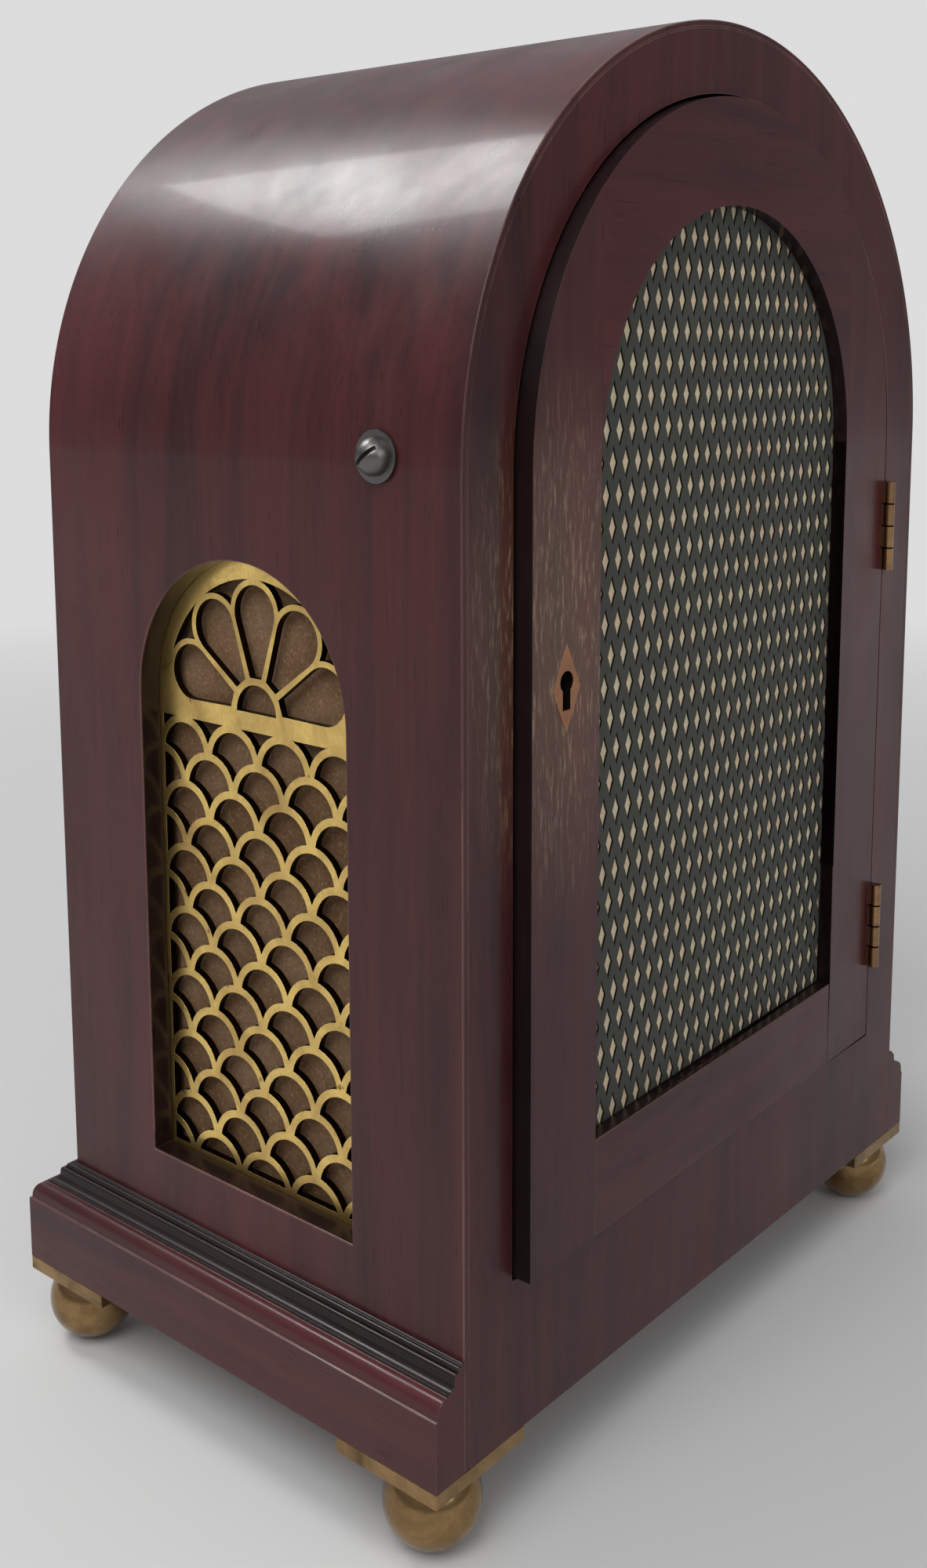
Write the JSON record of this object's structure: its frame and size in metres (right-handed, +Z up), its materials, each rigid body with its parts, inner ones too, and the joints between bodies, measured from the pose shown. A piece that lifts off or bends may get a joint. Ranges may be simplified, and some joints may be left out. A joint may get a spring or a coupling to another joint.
{
  "type": "bracket clock",
  "caption": "Round-arched mahogany bracket clock seen from behind: glazed dial front, brass side frets, hinged rear grille door, ball feet and a fusee movement with pendulum.",
  "frame": {"origin": "on the table, under the middle of the clock's bounding box", "axes": "+X to the right seen from the dial, +Y from the dial to the rear door, +Z up"},
  "size_m": [0.277, 0.1921, 0.428],
  "materials": {
    "mahogany": "french-polished dark mahogany",
    "carcase_wood": "plain sawn secondary wood",
    "brass": "aged lacquered brass",
    "movement_brass": "brushed movement brass",
    "blued_steel": "blued steel hands",
    "steel": "dark polished steel",
    "brown_silk": "faded brown silk",
    "gold_cloth": "cream and gold backing cloth",
    "grille_paint": "dark grey-green painted sheet",
    "dial_paint": "cream painted dial",
    "glass": "clear convex glass"
  },
  "bodies": {
    "case": {"back_cock": "movement_brass", "barrel_arbor": "steel", "bezel_bracket": "brass", "carcass": "mahogany", "dial_plate": "dial_paint", "floor_board": "carcase_wood", "foot_front_left": "brass", "foot_front_right": "brass", "foot_rear_left": "brass", "foot_rear_right": "brass", "front_panel": "mahogany", "hinge_case_leaf_lower": "brass", "hinge_case_leaf_upper": "brass", "movement_back_plate": "movement_brass", "movement_front_plate": "movement_brass", "movement_shelf": "carcase_wood", "plinth_front": "mahogany", "plinth_left": "mahogany", "plinth_right": "mahogany", "rear_frame": "mahogany", "rear_frame_lock_post": "mahogany", "shelf_cleat_left": "carcase_wood", "shelf_cleat_right": "carcase_wood", "side_bolt_left": "steel", "side_bolt_right": "steel", "side_cloth_left": "brown_silk", "side_cloth_right": "brown_silk", "side_fret_left": "brass", "side_fret_right": "brass", "side_washer_left": "steel", "side_washer_right": "steel", "steady_strap_left": "steel", "steady_strap_right": "steel", "suspension_spring": "steel"},
    "rear_door": {"door_hinge_stile": "mahogany", "door_lock_stile": "mahogany", "door_bottom_rail": "mahogany", "door_arch_head": "mahogany", "rear_grille": "grille_paint", "door_cloth": "gold_cloth", "door_bead": "mahogany", "door_escutcheon": "brass", "lock_case": "movement_brass", "hinge_door_leaf_lower": "brass", "hinge_door_leaf_upper": "brass"},
    "lock_bolt": {"lock_bolt": "steel"},
    "front_bezel": {"bezel_ring": "brass", "bezel_glass": "glass"},
    "third_arbor": {"third_wheel": "movement_brass"},
    "centre_arbor": {"centre_arbor": "movement_brass", "minute_hand": "blued_steel"},
    "hour_wheel": {"hour_wheel": "movement_brass", "hour_hand": "blued_steel"},
    "minute_wheel": {"minute_wheel": "movement_brass"},
    "escape_arbor": {"escape_wheel": "movement_brass"},
    "fusee": {"fusee": "movement_brass"},
    "barrel": {"barrel": "movement_brass"},
    "anchor": {"anchor": "steel"},
    "pendulum": {"pendulum_rod": "movement_brass", "pendulum_bob": "movement_brass"}
  },
  "joints": [
    {"name": "rear_door_hinge", "type": "hinge", "parent": "case", "child": "rear_door", "pos_m": [-0.10575, 0.0917, 0.194], "axis": [0, 0, 1], "range_deg": [-1.5, 150]},
    {"name": "lock_bolt_slide", "type": "slide", "parent": "rear_door", "child": "lock_bolt", "axis": [0.9997, 0.0262, 0], "range_m": [0, 0.004]},
    {"name": "bezel_hinge", "type": "hinge", "parent": "case", "child": "front_bezel", "pos_m": [-0.1062, -0.0848, 0.301], "axis": [0, 0, -1], "range_deg": [0, 110]},
    {"name": "third_arbor_turn", "type": "hinge", "parent": "case", "child": "third_arbor", "pos_m": [0.017, 0, 0.3223], "axis": [0, 1, 0], "continuous": true},
    {"name": "centre_arbor_turn", "type": "hinge", "parent": "case", "child": "centre_arbor", "pos_m": [0, 0, 0.301], "axis": [0, 1, 0], "continuous": true},
    {"name": "hour_wheel_turn", "type": "hinge", "parent": "case", "child": "hour_wheel", "pos_m": [0, 0, 0.301], "axis": [0, 1, 0], "continuous": true},
    {"name": "minute_wheel_turn", "type": "hinge", "parent": "case", "child": "minute_wheel", "pos_m": [-0.01273, 0, 0.31373], "axis": [0, 1, 0], "continuous": true},
    {"name": "escape_arbor_turn", "type": "hinge", "parent": "case", "child": "escape_arbor", "pos_m": [0, 0, 0.338], "axis": [0, 1, 0], "continuous": true},
    {"name": "fusee_turn", "type": "hinge", "parent": "case", "child": "fusee", "pos_m": [0, 0, 0.2605], "axis": [0, 1, 0], "continuous": true},
    {"name": "barrel_turn", "type": "hinge", "parent": "case", "child": "barrel", "pos_m": [-0.042, 0, 0.263], "axis": [0, 1, 0], "continuous": true},
    {"name": "pendulum_swing", "type": "hinge", "parent": "case", "child": "pendulum", "pos_m": [0, 0, 0.358], "axis": [0, 1, 0], "range_deg": [-2.5, 2.5]},
    {"name": "crutch_swing", "type": "hinge", "parent": "case", "child": "anchor", "pos_m": [0, 0, 0.358], "axis": [0, 1, 0], "range_deg": [-2.5, 2.5]}
  ],
  "couplings": [
    {"joint": "centre_arbor_turn", "follows": "third_arbor_turn", "ratio": -0.083333},
    {"joint": "escape_arbor_turn", "follows": "third_arbor_turn", "ratio": -11.143},
    {"joint": "minute_wheel_turn", "follows": "third_arbor_turn", "ratio": 0.041667},
    {"joint": "hour_wheel_turn", "follows": "third_arbor_turn", "ratio": -0.0069444},
    {"joint": "fusee_turn", "follows": "third_arbor_turn", "ratio": 0.0069444},
    {"joint": "barrel_turn", "follows": "third_arbor_turn", "ratio": 0.0043403},
    {"joint": "crutch_swing", "follows": "pendulum_swing", "ratio": 1}
  ]
}
